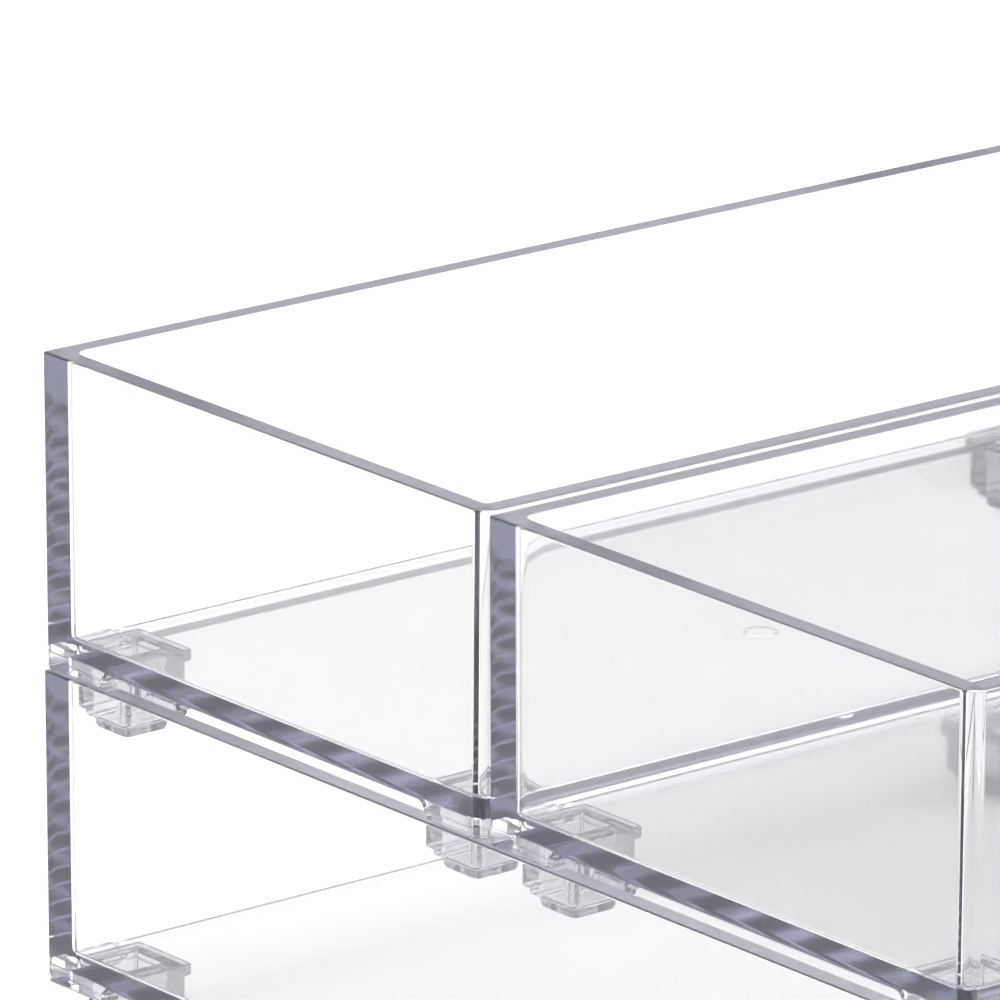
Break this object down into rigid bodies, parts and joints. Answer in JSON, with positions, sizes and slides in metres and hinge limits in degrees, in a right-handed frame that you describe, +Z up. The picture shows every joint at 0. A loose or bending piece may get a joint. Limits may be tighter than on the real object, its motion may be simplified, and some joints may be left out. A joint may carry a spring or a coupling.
{
  "type": "desk organizer",
  "caption": "Clear stackable desk organizer: narrow open trays side by side on a double-width tray, each on hollow corner feet that nest inside the rim below.",
  "frame": {"origin": "middle of the footprint, on the surface the feet stand on", "axes": "+X along the front from left to right, +Y from front to back, +Z up"},
  "size_m": [0.161, 0.15, 0.0832],
  "materials": {
    "clear_tray": "crystal-clear polystyrene, moulded and polished, faint violet-grey tint in its edges",
    "clear_foot": "clear moulded plastic, neutral grey in its edges"
  },
  "bodies": {
    "lower": {"lower_tray": "clear_tray", "lower_foot_front_left": "clear_foot", "lower_foot_front_right": "clear_foot", "lower_foot_back_left": "clear_foot", "lower_foot_back_right": "clear_foot"},
    "upper_left": {"upper_left_tray": "clear_tray", "upper_left_foot_front_left": "clear_foot", "upper_left_foot_front_right": "clear_foot", "upper_left_foot_back_left": "clear_foot", "upper_left_foot_back_right": "clear_foot"},
    "upper_right": {"upper_right_tray": "clear_tray", "upper_right_foot_front_left": "clear_foot", "upper_right_foot_front_right": "clear_foot", "upper_right_foot_back_left": "clear_foot", "upper_right_foot_back_right": "clear_foot"}
  },
  "joints": [
    {"name": "upper_left_lift", "type": "slide", "parent": "lower", "child": "upper_left", "axis": [0, 0, 1], "range_m": [0, 0.05]},
    {"name": "upper_right_lift", "type": "slide", "parent": "lower", "child": "upper_right", "axis": [0, 0, 1], "range_m": [0, 0.05]}
  ]
}
